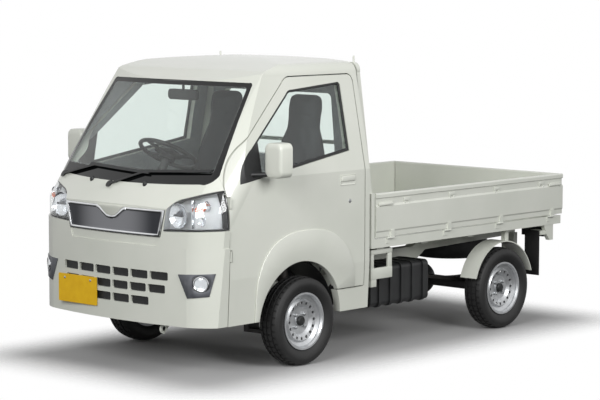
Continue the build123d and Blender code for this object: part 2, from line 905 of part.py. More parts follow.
def guard_frame():
    """Headboard with the tube frame behind the cab, leaning in with it, and its rope hooks."""
    face = outline(
        (-700, gate_top_z), (700, gate_top_z), (598, 1690), ((584, 1738), (540, 1750)),
        (-540, 1750), ((-584, 1738), (-598, 1690)))
    frame = face - offset(face, -38)
    for height in (1110.0, 1260.0):
        frame += Pos(0, height) * Rectangle(1500, 22)
    guard = along_y(frame & face, bed_front_y, bed_front_y + guard_deep)
    middle = bed_front_y + guard_deep / 2
    for x in (560, -560):
        guard += rod_z(6, 1730, 1788, x, middle)
    return guard + block(-bed_half, bed_half, bed_front_y, gate_front_y - shut_gap, bed_floor_z, gate_top_z)


def rear_mudguard():
    """Left mudguard over the rear wheel, with its stay to the bed."""
    y = rear_axle_y
    guard = rod_x(306, 588, 716, y, wheel_z) - rod_x(300, 500, 800, y, wheel_z)
    guard &= block(0, 900, -far, far, 350, 900)
    return guard + block(640, 670, 1142, 1180, wheel_z + 285, bed_mount_z)


def mud_flap():
    return block(585, 700, 1468, 1476, 305, 600)


def rear_bracket():
    """Left tail bracket under the bed rail, holding the flap."""
    face = outline((1500, rail_bottom_z), (1600, rail_bottom_z), (1600, 532), (1560, 532), (1530, 575))
    bracket = along_x(face, bed_half - 32, bed_half - 4)
    return bracket + block(620, bed_half - 10, 1476, 1540, 572, 600)


def rear_lamp():
    return block(460, 640, 1600, 1672, 545, rail_bottom_z)


def inner_mirror():
    glass_part = Pos(-30, -1075, 1565) * along_y(RectangleRounded(236, 62, 24), -12, 12)
    stalk = rod_z(8, 1570, screen_top_z - 2 * seat_gap, -30, -1075)
    return glass_part + stalk


def wheel_at(shape, x, y):
    placed = shape if x > 0 else other_side(shape)
    return Pos(x, y, wheel_z) * placed


wheel_places = {
    "front_left": (wheel_x, front_axle_y),
    "front_right": (-wheel_x, front_axle_y),
    "rear_left": (wheel_x, rear_axle_y),
    "rear_right": (-wheel_x, rear_axle_y),
}

tail_gate = gate(tail_outer_y, tail_axis_y, -tail_half, tail_half)
nodes = {
    "chassis_rails": chassis_rails(),
    "cross_members": cross_members(),
    "front_suspension": front_suspension(),
    "rear_axle": rear_axle(),
    "leaf_springs": group(leaf_spring(), other_side(leaf_spring())),
    "engine": engine(),
    "propeller_shaft": propeller_shaft(),
    "fuel_tank": fuel_tank(),
    "exhaust": exhaust(),
    "spare_wheel": spare_wheel(),
    "cab_floor": cab_floor(),
    "wheel_liners": group(wheel_liner(), other_side(wheel_liner())),
    "hinge_pillars": group(hinge_pillar(), other_side(hinge_pillar())),
    "cab_roof": cab_roof(),
    "cab_back": cab_back(),
    "front_panel": front_panel(),
    "windscreen": windscreen(),
    "rear_window": rear_window(),
    "headlamps": headlamps(),
    "upper_grille": upper_grille(),
    "front_bumper": front_bumper(),
    "fog_lamps": fog_lamps(),
    "number_plate": number_plate(),
    "wipers": wipers(),
    "dashboard": dashboard(),
    "seat_left": seat(seat_places[0]),
    "seat_right": seat(seat_places[1]),
    "inner_mirror": inner_mirror(),
    "steering_column": steering_column(),
    "steering_wheel": steering_wheel(),
    "bed_floor": bed_floor(),
    "bed_hinges": bed_hinges(),
    "guard_frame": guard_frame(),
    "gate_left": gate(gate_outer, gate_axis, gate_front_y, gate_rear_y),
    "tailgate": quarter * tail_gate,
    "rear_mudguards": group(rear_mudguard(), other_side(rear_mudguard())),
    "mud_flaps": group(mud_flap(), other_side(mud_flap())),
    "rear_lamps": group(rear_lamp(), other_side(rear_lamp())),
    "cab_side_left": cab_side(),
    "door_left": cab_door(),
    "door_glass_left": door_glass(),
    "mirror_left": door_mirror(),
    "knuckle_left": knuckle(),
    "strut_left": strut(),
}
paired = ("cab_side", "door", "door_glass", "mirror", "knuckle", "strut", "gate")
for name in paired:
    nodes[f"{name}_right"] = other_side(nodes[f"{name}_left"])
tyre = tyre_ring()
rim = rim_disc()
for place, (x, y) in wheel_places.items():
    nodes[f"tyre_{place}"] = wheel_at(tyre, x, y)
    nodes[f"rim_{place}"] = wheel_at(rim, x, y)

os.makedirs("parts", exist_ok=True)
for name, shape in nodes.items():
    export_step(shape, f"parts/{name}.step")
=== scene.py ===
import math
import bpy
from mathutils import Matrix, Vector


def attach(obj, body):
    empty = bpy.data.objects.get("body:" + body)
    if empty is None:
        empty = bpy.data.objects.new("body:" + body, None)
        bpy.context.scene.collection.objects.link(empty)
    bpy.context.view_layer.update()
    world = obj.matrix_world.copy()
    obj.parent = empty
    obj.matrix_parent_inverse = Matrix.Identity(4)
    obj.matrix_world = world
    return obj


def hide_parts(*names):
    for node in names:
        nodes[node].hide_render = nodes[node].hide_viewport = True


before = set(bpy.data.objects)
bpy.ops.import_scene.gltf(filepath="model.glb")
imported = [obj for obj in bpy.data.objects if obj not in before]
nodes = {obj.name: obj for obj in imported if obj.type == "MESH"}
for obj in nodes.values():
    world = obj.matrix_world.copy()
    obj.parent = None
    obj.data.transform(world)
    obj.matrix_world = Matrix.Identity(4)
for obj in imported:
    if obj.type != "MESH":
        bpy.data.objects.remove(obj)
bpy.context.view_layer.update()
print("frame loaded:", len(nodes), "nodes")


# finishes

mathKind = "ShaderNodeMath"
rampKind = "ShaderNodeValToRGB"
rangeKind = "ShaderNodeMapRange"
noiseKind = "ShaderNodeTexNoise"


def toLinear(hexText):
    parts = [int(hexText[i:i + 2], 16) / 255 for i in (1, 3, 5)]
    linear = [p / 12.92 if p <= 0.04045 else ((p + 0.055) / 1.055) ** 2.4 for p in parts]
    return linear + [1.0]


def addNode(tree, kind, inputs=None, **settings):
    # an input is a number, a socket, or a node whose first output is meant
    node = tree.nodes.new(kind)
    for name, value in settings.items():
        setattr(node, name, value)
    for socket, value in (inputs or {}).items():
        if isinstance(value, bpy.types.Node):
            value = value.outputs[0]
        if isinstance(value, bpy.types.NodeSocket):
            tree.links.new(value, node.inputs[socket])
        else:
            node.inputs[socket].default_value = value
    return node


def startFinish(name, **sockets):
    finish = bpy.data.materials.new(name)
    finish.use_nodes = True
    tree = finish.node_tree
    shader = tree.nodes["Principled BSDF"]
    for socket, value in sockets.items():
        shader.inputs[socket.replace("_", " ")].default_value = value
    place = addNode(tree, "ShaderNodeTexCoord").outputs["Object"]
    return finish, tree, shader, place


def mottled(name, dark, light, scale, grain=None, depth=0.0, rough=None, **sockets):
    # two close colours mixed by noise, and a grain that stands up a little
    # scale and grain count to the metre, so 900 is about 1 mm, coarser than life so that it shows
    finish, tree, shader, place = startFinish(name, **sockets)
    cloud = addNode(tree, noiseKind, {"Vector": place, "Scale": scale, "Detail": 3.0})
    ramp = addNode(tree, rampKind, {"Fac": cloud.outputs["Fac"]})
    for point, spot, colour in zip(ramp.color_ramp.elements, (0.3, 0.7), (dark, light)):
        point.position = spot
        point.color = toLinear(colour)
    tree.links.new(ramp.outputs["Color"], shader.inputs["Base Color"])
    if rough:
        low, high = rough
        band = addNode(tree, rangeKind, {"Value": cloud.outputs["Fac"], "To Min": low, "To Max": high})
        tree.links.new(band.outputs["Result"], shader.inputs["Roughness"])
    if grain:
        pits = addNode(tree, noiseKind, {"Vector": place, "Scale": grain, "Detail": 2.0})
        bump = addNode(tree, "ShaderNodeBump", {"Height": pits.outputs["Fac"], "Strength": depth,
                                                "Distance": 0.001})
        tree.links.new(bump.outputs["Normal"], shader.inputs["Normal"])
    return finish


# baked pearl enamel under clear lacquer: off-white with a little sage, soft sheen, sharp coat
pearlPaint = mottled("pearlEnamel", "#D3D6CC", "#DADCD3", 3.0, rough=(0.30, 0.36),
                     Coat_Weight=0.6, Coat_Roughness=0.05)
# electro-dipped black frame paint: satin, with a film of road dust
framePaint = mottled("dippedFramePaint", "#141414", "#232221", 9.0, 180.0, 0.15, rough=(0.45, 0.65))
# hot-rolled spring steel under thin black paint
springSteel = mottled("springSteel", "#2A2826", "#3B3835", 25.0, 300.0, 0.2,
                      Metallic=0.6, Roughness=0.5)
# aluminised exhaust tube: dull grey with heat-stained patches
exhaustSteel = mottled("aluminisedSteel", "#77736C", "#94908A", 14.0, rough=(0.35, 0.55), Metallic=0.85)
# zinc-plated nuts, bolts and locks: pale grey, half dull
zincPlate = mottled("zincPlate", "#A9ABAC", "#BDBFC0", 60.0, rough=(0.28, 0.42), Metallic=0.9)
# sand-cast engine metal: rough grey
castMetal = mottled("sandCastMetal", "#45464A", "#5C5D60", 30.0, 400.0, 0.35,
                    Metallic=0.5, Roughness=0.6)
# moulded polypropylene: near black, fine grain, low sheen
blackPlastic = mottled("mouldedPolypropylene", "#151617", "#1D1E1F", 40.0, 900.0, 0.12, Roughness=0.48)
# painted lamp surrounds: dark metallic grey
greyTrim = mottled("greyTrimPaint", "#56585D", "#64666B", 30.0, 600.0, 0.08,
                   Metallic=0.35, Roughness=0.42)
# dashboard moulding: dark grey, leather-like grain
dashPlastic = mottled("grainedDashMoulding", "#4A4D4F", "#55585A", 20.0, 700.0, 0.2, Roughness=0.55)
# headlining and door trim board: pale grey, dull
liningBoard = mottled("liningBoard", "#8C9092", "#999D9F", 45.0, 800.0, 0.2, Roughness=0.75)
# blow-moulded tank: black, a little uneven
tankPlastic = mottled("blowMouldedPlastic", "#18191A", "#242526", 12.0, 250.0, 0.15, Roughness=0.5)
# vulcanised tyre rubber: near black, dull
tyreRubber = mottled("vulcanisedRubber", "#101010", "#181818", 18.0, 500.0, 0.2, Roughness=0.62)
# silver lacquer on pressed steel wheels
wheelSilver = mottled("silverWheelLacquer", "#B4B6B8", "#C4C6C8", 30.0, rough=(0.30, 0.40), Metallic=0.7)
# bright chrome on plastic
chromeTrim = mottled("chromedPlastic", "#D4D6D8", "#E2E4E6", 8.0, rough=(0.05, 0.09), Metallic=1.0)
# vacuum-aluminised lamp reflector
lampSilver = mottled("aluminisedReflector", "#DCDEE2", "#E8EAEE", 14.0, rough=(0.12, 0.2), Metallic=0.85)
# satin lamp case between the bowls
lampSatin = mottled("satinLampCase", "#CFD1D4", "#DCDEE0", 14.0, rough=(0.38, 0.46), Metallic=0.25)
# silvered mirror glass
mirrorSilver = mottled("silveredGlass", "#C9CED0", "#D2D6D8", 3.0, rough=(0.01, 0.03), Metallic=1.0)
# yellow enamel of a blank plate
plateYellow = mottled("yellowPlateEnamel", "#E3B10A", "#EBBD16", 20.0, rough=(0.3, 0.4))
# red, amber and frosted acrylic lenses: glossy
tailRed = mottled("redAcrylic", "#8E0D0D", "#A51414", 30.0, rough=(0.08, 0.14), Coat_Weight=0.5)
amberLens = mottled("amberAcrylic", "#C8500C", "#E0661A", 60.0, rough=(0.1, 0.2), Coat_Weight=0.5)
whiteLens = mottled("frostedAcrylic", "#C9CCCC", "#DADDDD", 60.0, rough=(0.12, 0.2), Coat_Weight=0.5)
# woven seat cloth: charcoal, flecked by its threads
seatCloth = mottled("wovenSeatCloth", "#2B2D31", "#393B40", 220.0, 650.0, 0.5, Roughness=0.9)


def glassFinish(name, tint, rough):
    # float glass or clear moulded lens: see-through, with a very slight tint
    finish, tree, shader, place = startFinish(name, Roughness=rough, IOR=1.45, Transmission_Weight=1.0)
    haze = addNode(tree, noiseKind, {"Vector": place, "Scale": 2.0, "Detail": 1.0})
    ramp = addNode(tree, rampKind, {"Fac": haze.outputs["Fac"]})
    for point, colour in zip(ramp.color_ramp.elements, tint):
        point.color = toLinear(colour)
    tree.links.new(ramp.outputs["Color"], shader.inputs["Base Color"])
    return finish, tree, shader, place, ramp


greenTint = ("#EDF4F1", "#F1F7F4")
cabGlass = glassFinish("greenFloatGlass", greenTint, 0.0)[0]
lampLens = glassFinish("polycarbonateLens", ("#F4F6F6", "#FAFBFB"), 0.02)[0]

# printed ceramic border of the windscreen, as metres in the front view
screenBorder = {"side": 0.606, "lean": 0.122, "leanFrom": 1.14, "bottom": 1.152, "sag": 0.030,
                "top": 1.630, "round": 0.03, "blur": 0.001, "colour": "#0C0D0E"}


def borderedGlass():
    finish, tree, shader, place, tint = glassFinish("borderedScreenGlass", greenTint, 0.0)
    b = screenBorder
    split = addNode(tree, "ShaderNodeSeparateXYZ", {0: place})
    height = split.outputs["Z"]
    across = addNode(tree, mathKind, {0: split.outputs["X"]}, operation="ABSOLUTE")
    rise = addNode(tree, mathKind, {0: height, 1: b["leanFrom"]}, operation="SUBTRACT")
    edge = addNode(tree, mathKind, {0: rise, 1: b["lean"], 2: -b["side"]}, operation="MULTIPLY_ADD")
    beyondSide = addNode(tree, mathKind, {0: across, 1: edge}, operation="ADD")
    square = addNode(tree, mathKind, {0: across, 1: across}, operation="MULTIPLY")
    low = addNode(tree, mathKind, {0: square, 1: b["sag"], 2: b["bottom"]}, operation="MULTIPLY_ADD")
    below = addNode(tree, mathKind, {0: low, 1: height}, operation="SUBTRACT")
    above = addNode(tree, mathKind, {0: height, 1: b["top"]}, operation="SUBTRACT")
    ends = addNode(tree, mathKind, {0: below, 1: above}, operation="MAXIMUM")
    outside = addNode(tree, mathKind, {0: beyondSide, 1: ends, 2: b["round"]}, operation="SMOOTH_MAX")
    printed = addNode(tree, rangeKind, {"Value": outside, "From Min": -b["blur"], "From Max": b["blur"]})
    clear = addNode(tree, mathKind, {0: 1.0, 1: printed}, operation="SUBTRACT")
    colour = addNode(tree, "ShaderNodeMix", {"Factor": printed, 6: tint.outputs["Color"],
                                             7: toLinear(b["colour"])}, data_type="RGBA")
    tree.links.new(colour.outputs[2], shader.inputs["Base Color"])
    tree.links.new(clear.outputs[0], shader.inputs["Transmission Weight"])
    return finish


# middle and ends of the grille's panel, and the square of the distance where the ends begin
panelFade = {"middle": "#8B8C90", "ends": "#33353A", "reach": 0.11}


def grilleFinish():
    # dark metallic lacquer, paler towards the middle
    finish, tree, shader, place = startFinish("darkMetallicLacquer", Metallic=0.35, Roughness=0.3)
    across = addNode(tree, "ShaderNodeSeparateXYZ", {0: place}).outputs["X"]
    square = addNode(tree, mathKind, {0: across, 1: across}, operation="MULTIPLY")
    share = addNode(tree, rangeKind, {"Value": square, "From Max": panelFade["reach"]})
    fade = addNode(tree, rampKind, {"Fac": share})
    fade.color_ramp.interpolation = "EASE"
    fade.color_ramp.elements[0].color = toLinear(panelFade["middle"])
    fade.color_ramp.elements[1].color = toLinear(panelFade["ends"])
    tree.links.new(fade.outputs["Color"], shader.inputs["Base Color"])
    return finish


# what isn't named here is body paint
finishOf = {
    "cab_floor": dashPlastic, "dashboard": dashPlastic, "wheel_liners": blackPlastic,
    "wipers": blackPlastic, "inner_mirror": blackPlastic, "steering_column": blackPlastic,
    "steering_wheel": blackPlastic, "rear_lamps": blackPlastic, "mud_flaps": tyreRubber,
    "spare_wheel": tyreRubber, "fuel_tank": tankPlastic, "cross_members": framePaint,
    "front_suspension": framePaint, "rear_axle": framePaint, "leaf_springs": springSteel,
    "propeller_shaft": springSteel, "engine": castMetal, "exhaust": exhaustSteel,
    "windscreen": borderedGlass(), "rear_window": cabGlass, "headlamps": lampLens,
    "fog_lamps": greyTrim, "upper_grille": grilleFinish(), "number_plate": plateYellow,
}
for side in ("left", "right"):
    finishOf["door_glass_" + side] = cabGlass
    finishOf["mirror_" + side] = blackPlastic
    finishOf["knuckle_" + side] = castMetal
    finishOf["strut_" + side] = springSteel
    finishOf["seat_" + side] = seatCloth
    for end in ("front", "rear"):
        finishOf[f"tyre_{end}_{side}"] = tyreRubber
        finishOf[f"rim_{end}_{side}"] = wheelSilver
for name, node in nodes.items():
    node.data.materials.clear()
    node.data.materials.append(finishOf.get(name, pearlPaint))
print("finishes set")


# modelling helpers

def choose(*pieces):
    # object mode, with only these pieces chosen
    if bpy.context.object and bpy.context.object.mode == "EDIT":
        bpy.ops.object.mode_set(mode="OBJECT")
    bpy.ops.object.select_all(action="DESELECT")
    for piece in pieces:
        piece.select_set(True)
        bpy.context.view_layer.objects.active = piece


def applyPlace():
    bpy.ops.object.transform_apply(location=True, rotation=True, scale=True)


def useModifier(piece, kind, **settings):
    choose(piece)
    modifier = piece.modifiers.new(kind.lower(), kind)
    for name, value in settings.items():
        setattr(modifier, name, value)
    bpy.ops.object.modifier_apply(modifier=modifier.name)


def softEdges(piece, width, segments=3):
    useModifier(piece, "BEVEL", width=width, segments=segments, limit_method="ANGLE",
                angle_limit=math.radians(30))


def pickFaces(piece, test=lambda centre, normal: True):
    # edit mode, with only the faces that pass chosen
    choose(piece)
    bpy.ops.object.mode_set(mode="EDIT")
    bpy.ops.mesh.select_mode(type="FACE")
    bpy.ops.mesh.select_all(action="DESELECT")
    bpy.ops.object.mode_set(mode="OBJECT")
    for face in piece.data.polygons:
        face.select = test(face.center, face.normal)
    bpy.ops.object.mode_set(mode="EDIT")


def pull(step):
    bpy.ops.mesh.extrude_region_move(TRANSFORM_OT_translate={"value": step})


def faceOut():
    # turns all faces outwards and leaves edit mode
    bpy.ops.mesh.select_all(action="SELECT")
    bpy.ops.mesh.normals_make_consistent(inside=False)
    bpy.ops.object.mode_set(mode="OBJECT")


def lineThrough(points):
    # a wire through these points, left in edit mode with all of it chosen
    choose()
    bpy.ops.mesh.primitive_plane_add(size=0.01)
    piece = bpy.context.object
    bpy.ops.object.mode_set(mode="EDIT")
    bpy.ops.mesh.select_mode(type="VERT")
    bpy.ops.mesh.select_all(action="SELECT")
    bpy.ops.mesh.merge(type="CENTER")
    bpy.ops.transform.translate(value=points[0])
    for here, there in zip(points, points[1:]):
        pull([b - a for a, b in zip(here, there)])
    bpy.ops.mesh.select_all(action="SELECT")
    return piece


def onLathe(points, axis, centre, steps, sweep=360.0):
    # the wire turned about an axis
    piece = lineThrough(points)
    bpy.ops.mesh.spin(steps=steps, angle=math.radians(sweep), center=centre, axis=axis)
    bpy.ops.mesh.select_all(action="SELECT")
    bpy.ops.mesh.remove_doubles(threshold=0.0002)
    faceOut()
    return piece


def roundedBlock(centre, size, edge, turn=(0, 0, 0)):
    choose()
    angles = [math.radians(a) for a in turn]
    bpy.ops.mesh.primitive_cube_add(size=1.0, location=centre, rotation=angles)
    piece = bpy.context.object
    piece.scale = size
    applyPlace()
    softEdges(piece, edge)
    return piece


def uprightSheet(centre, size, corner, steps):
    # flat sheet that faces forwards, with round corners
    choose()
    bpy.ops.mesh.primitive_plane_add(size=1.0, location=centre, rotation=(math.pi / 2, 0, 0))
    piece = bpy.context.object
    piece.scale = size
    applyPlace()
    useModifier(piece, "BEVEL", affect="VERTICES", width=corner, segments=steps)
    return piece


def joined(pieces):
    choose(*pieces)
    bpy.ops.object.join()
    applyPlace()
    return bpy.context.object


def nodeFaces(nodeName, test, grow=0.0):
    # the faces of a node that pass the test, merged, and moved out along their normals
    piece = bpy.data.objects.new("faces", nodes[nodeName].data.copy())
    bpy.context.collection.objects.link(piece)
    choose(piece)
    bpy.ops.mesh.customdata_custom_splitnormals_clear()
    bpy.ops.object.shade_flat()
    bpy.ops.object.mode_set(mode="EDIT")
    bpy.ops.mesh.select_all(action="SELECT")
    bpy.ops.mesh.remove_doubles(threshold=0.00002)
    pickFaces(piece, lambda centre, normal: not test(centre, normal))
    bpy.ops.mesh.delete(type="FACE")
    bpy.ops.object.mode_set(mode="OBJECT")
    if grow:
        useModifier(piece, "DISPLACE", strength=grow, mid_level=0.0)
    return piece


def edgeFrame(piece, wide, tall, edge):
    # a sheet cut down to a frame along its outline, with its own height
    pickFaces(piece)
    bpy.ops.mesh.dissolve_limited(angle_limit=math.radians(0.3))
    bpy.ops.mesh.select_all(action="SELECT")
    bpy.ops.mesh.inset(thickness=wide, use_even_offset=True)
    bpy.ops.mesh.delete(type="FACE")
    bpy.ops.object.mode_set(mode="OBJECT")
    useModifier(piece, "SOLIDIFY", thickness=tall, offset=1.0)
    softEdges(piece, edge, 2)
    return piece


def trimmed(piece, cuts):
    # keeps what lies on the inner side of each plane, given by a point and its outward normal
    for spot, outward in cuts:
        choose(piece)
        bpy.ops.object.mode_set(mode="EDIT")
        bpy.ops.mesh.select_all(action="SELECT")
        bpy.ops.mesh.bisect(plane_co=spot, plane_no=outward, clear_outer=True, use_fill=False)
        bpy.ops.object.mode_set(mode="OBJECT")
    return piece


def sideCuts(corners, axis):
    # planes through the sides of a closed outline drawn along one axis, corners anticlockwise
    cuts = []
    for (a0, b0), (a1, b1) in zip(corners, corners[1:] + corners[:1]):
        outward = (b1 - b0, a0 - a1)
        if axis == "Y":
            cuts.append(((a0, 0, b0), (outward[0], 0, outward[1])))
        else:
            cuts.append(((0, a0, b0), (0, outward[0], outward[1])))
    return cuts


rayFrom = {"front": -2.2, "side": 1.2}


def castOn(nodeName, start, way):
    # place and normal where a ray meets a node
    return nodes[nodeName].ray_cast(start, way)[1:3]


def copyTo(piece, shift=(0, 0, 0), turn=0.0, flip=False):
    # the same piece elsewhere, with its own mesh
    other = bpy.data.objects.new("copy", piece.data.copy())
    bpy.context.collection.objects.link(other)
    other.location = shift
    other.rotation_euler = (0, 0, math.radians(turn))
    other.scale = (-1 if flip else 1, 1, 1)
    choose(other)
    applyPlace()
    if flip:
        bpy.ops.object.mode_set(mode="EDIT")
        faceOut()
    return other


def settle(piece, name, finish, body, smooth=32.0):
    choose(piece)
    applyPlace()
    bpy.ops.object.shade_smooth_by_angle(angle=math.radians(smooth))
    piece.name = name
    piece.data.materials.clear()
    piece.data.materials.append(finish)
    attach(piece, body)
    return piece


def settlePair(piece, name, finish, smooth=32.0, bodies=("truck", "truck")):
    # the left piece and its mirror image on the right
    settle(piece, name + "Left", finish, bodies[0], smooth)
    settle(copyTo(piece, flip=True), name + "Right", finish, bodies[1], smooth)


def discard(*pieces):
    for piece in pieces:
        bpy.data.objects.remove(piece)


# wheels

wheel = {"x": 0.652, "z": 0.262, "frontY": -0.821, "rearY": 1.079, "steps": 160, "capSteps": 32}
# across and radius in mm, from the bead over the sidewall to the middle of the tread
tyreHalf = [(50, 158.6), (50, 169), (57, 177), (66, 193), (71.4, 210), (71.8, 222), (69.8, 232),
            (69.2, 233), (67, 242), (62, 250), (57.5, 253.4), (38, 257.6), (36.5, 252), (30, 252.6),
            (28.5, 259.2), (6, 261.6), (4.5, 256)]
# cuts across two ribs of the tread, at every fourth step, and two steps later on the inner rib
sipe = {"every": 4, "later": 2, "deep": 0.005, "treadFrom": 0.2525, "treadRadius": 0.257,
        "outerRib": (0.038, 0.0575), "innerRib": (0.006, 0.0285)}
capProfile = [(22.3, 0.0), (22.3, 30), (33, 29.2), (38, 25.5), (40, 19), (37.5, 17.5), (38.5, 0.0)]
nut = {"count": 4, "first": 45, "circle": 0.050, "out": 0.024, "radius": 0.0105, "tall": 0.016,
       "edge": 0.0018, "crown": 0.003}
# valve stem: out along the axle and radius from it
valve = {"radius": 0.1255, "steps": 10,
         "profile": ((0.028, 0.1255), (0.028, 0.1215), (0.05, 0.1225), (0.05, 0.1255))}
axle = (1, 0, 0)


def makeTyre():
    half = [(x / 1000, 0, r / 1000) for x, r in tyreHalf]
    profile = half + [(-x, y, z) for x, y, z in reversed(half)]
    tyre = onLathe(profile + [profile[0]], axle, (0, 0, 0), wheel["steps"])

    def isSipe(centre, normal):
        step = math.atan2(centre.y, centre.z) / (2 * math.pi) * wheel["steps"]
        outer = sipe["outerRib"][0] < abs(centre.x) < sipe["outerRib"][1]
        inner = sipe["innerRib"][0] < abs(centre.x) < sipe["innerRib"][1]
        if inner:
            step += sipe["later"]
        onTread = (outer or inner) and centre.yz.length > sipe["treadFrom"]
        return onTread and math.floor(step) % sipe["every"] == 0

    pickFaces(tyre, isSipe)
    bpy.ops.mesh.extrude_region_move()
    radial = 1 - sipe["deep"] / sipe["treadRadius"]
    bpy.ops.transform.resize(value=(1, radial, radial), center_override=(0, 0, 0))
    bpy.ops.object.mode_set(mode="OBJECT")
    return tyre


def makeNuts():
    nuts = []
    for number in range(nut["count"]):
        angle = math.radians(nut["first"] + 360 / nut["count"] * number)
        place = (nut["out"], nut["circle"] * math.sin(angle), nut["circle"] * math.cos(angle))
        bpy.ops.mesh.primitive_cylinder_add(vertices=6, radius=nut["radius"], depth=nut["tall"],
                                            location=place, rotation=(0, math.pi / 2, 0))
        made = bpy.context.object
        softEdges(made, nut["edge"], 2)
        pickFaces(made, lambda centre, normal: normal.z > 0.9 and centre.z > 0.4 * nut["tall"])
        bpy.ops.mesh.inset(thickness=nut["crown"])
        pull((nut["crown"], 0, 0))
        bpy.ops.object.mode_set(mode="OBJECT")
        nuts.append(made)
    points = [(out, 0, radius) for out, radius in valve["profile"]]
    return joined(nuts + [onLathe(points, axle, (0, 0, valve["radius"]), valve["steps"])])


def makeWheels():
    tyre = makeTyre()
    cap = onLathe([(x / 1000, 0, r / 1000) for x, r in capProfile], axle, (0, 0, 0), wheel["capSteps"])
    nuts = makeNuts()
    rows = ((tyre, "tyre", tyreRubber, "tyre_rubber"), (cap, "hubCap", blackPlastic, "black_plastic"),
            (nuts, "wheelNuts", zincPlate, "wheel_silver"))
    for end in ("front", "rear"):
        for side, x, turn in (("left", wheel["x"], 0.0), ("right", -wheel["x"], 180.0)):
            for piece, name, finish, slot in rows:
                made = copyTo(piece, (x, wheel[end + "Y"], wheel["z"]), turn)
                mark = end.capitalize() + side.capitalize()
                settle(made, name + mark, finish, f"wheel_{end}_{side}")
                if name == "tyre":
                    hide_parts(f"tyre_{end}_{side}")
    discard(tyre, cap, nuts)


makeWheels()
print("wheels made")


# lamps

lamp = {
    "outward": (0.6, -0.8), "facing": 0.4, "backY": -1.4605,
    "lensThick": 0.003, "wallThick": 0.006, "wallInset": 0.0035, "backInset": 0.001,
    # centre of each bowl, its radius and its depth
    "bowls": ((0.492, -1.603, 0.926, 0.070, 0.030), (0.615, -1.556, 0.900, 0.030, 0.016),
              (0.640, -1.538, 0.985, 0.028, 0.014)),
    "bowlShares": (0.0, 0.25, 0.5, 0.72, 0.88, 1.0), "bowlThick": 0.0016, "bowlSteps": 40,
    # centre, size and edge
    "shield": ((0.492, -1.630, 0.928), (0.074, 0.016, 0.013), 0.006),
    "fin": ((0.569, -1.589, 0.937), (0.006, 0.034, 0.160), 0.002),
    "bulbs": ((0.598, -1.590, 0.964), (0.628, -1.572, 0.968)), "bulbSteps": 20,
    # along the bulb and out from its middle
    "bulbProfile": ((0.014, 0.0), (0.014, 0.009), (0.0, 0.014), (-0.008, 0.011), (-0.013, 0.0)),
}


def lampFacing(centre, normal):
    across, ahead = lamp["outward"]
    return normal.dot(Vector((math.copysign(across, centre.x), ahead, 0)))


def lampFront(centre, normal):
    return lampFacing(centre, normal) > lamp["facing"]


def lampBack(centre, normal):
    return lampFacing(centre, normal) < -lamp["facing"] and centre.y < lamp["backY"]


def lampWall(centre, normal):
    return not lampFront(centre, normal) and not lampBack(centre, normal)


def makeBowl(x, y, z, radius, deep):
    points = [(x, y - deep * share * share, z + radius * share) for share in lamp["bowlShares"]]
    bowl = onLathe(points, (0, 1, 0), (x, y, z), lamp["bowlSteps"])
    useModifier(bowl, "SOLIDIFY", thickness=lamp["bowlThick"], offset=-1.0)
    return bowl


def makeBulb(x, y, z):
    points = [(x, y + along, z + out) for along, out in lamp["bulbProfile"]]
    return onLathe(points, (0, 1, 0), (x, y, z), lamp["bulbSteps"])


def makeHeadlamps():
    lens = nodeFaces("headlamps", lampFront)
    useModifier(lens, "SOLIDIFY", thickness=lamp["lensThick"], offset=-1.0)
    settle(lens, "headlampLenses", lampLens, "truck", 40)
    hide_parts("headlamps")
    back = nodeFaces("headlamps", lampBack, -lamp["backInset"])
    settle(back, "headlampBacks", lampSatin, "truck")
    walls = nodeFaces("headlamps", lampWall, -lamp["wallInset"])
    useModifier(walls, "SOLIDIFY", thickness=lamp["wallThick"], offset=-1.0)
    settle(walls, "headlampHousings", blackPlastic, "truck")
    bowls = [makeBowl(*row) for row in lamp["bowls"]]
    reflector = joined(bowls + [roundedBlock(*lamp["fin"])])
    shield = roundedBlock(*lamp["shield"])
    bulbs = joined([makeBulb(*spot) for spot in lamp["bulbs"]])
    settlePair(reflector, "lampReflector", lampSilver)
    settlePair(shield, "bulbShield", greyTrim)
    settlePair(bulbs, "amberBulbs", amberLens)


fog = {"x": 0.637, "z": 0.551, "thick": 0.005, "lift": 0.0005, "edge": 0.002, "steps": 48,
       "outward": (0.5, -0.86, 0), "facing": 0.45, "leftFrom": 0.3, "smooth": 50}
# front view of the left surround, anticlockwise
fogCorners = [(0.506, 0.600), (0.566, 0.468), (0.676, 0.482), (0.700, 0.610)]
# along the lamp's axis and out from it
fogRows = (
    ("fogRing", chromeTrim, "bright_trim",
     ((-0.001, 0.038), (-0.010, 0.0375), (-0.013, 0.041), (-0.011, 0.045), (-0.001, 0.0455))),
    ("fogReflector", lampSilver, "bright_trim",
     ((-0.0012, 0.0), (-0.002, 0.012), (-0.005, 0.028), (-0.007, 0.0378))),
    ("fogLens", lampLens, "lamp_lens",
     ((-0.0145, 0.0), (-0.014, 0.016), (-0.0115, 0.030), (-0.0085, 0.0372), (-0.0072, 0.0372),
      (-0.010, 0.0295), (-0.0125, 0.0))),
)


def fogFront(centre, normal):
    return centre.x > fog["leftFrom"] and normal.dot(Vector(fog["outward"])) > fog["facing"]


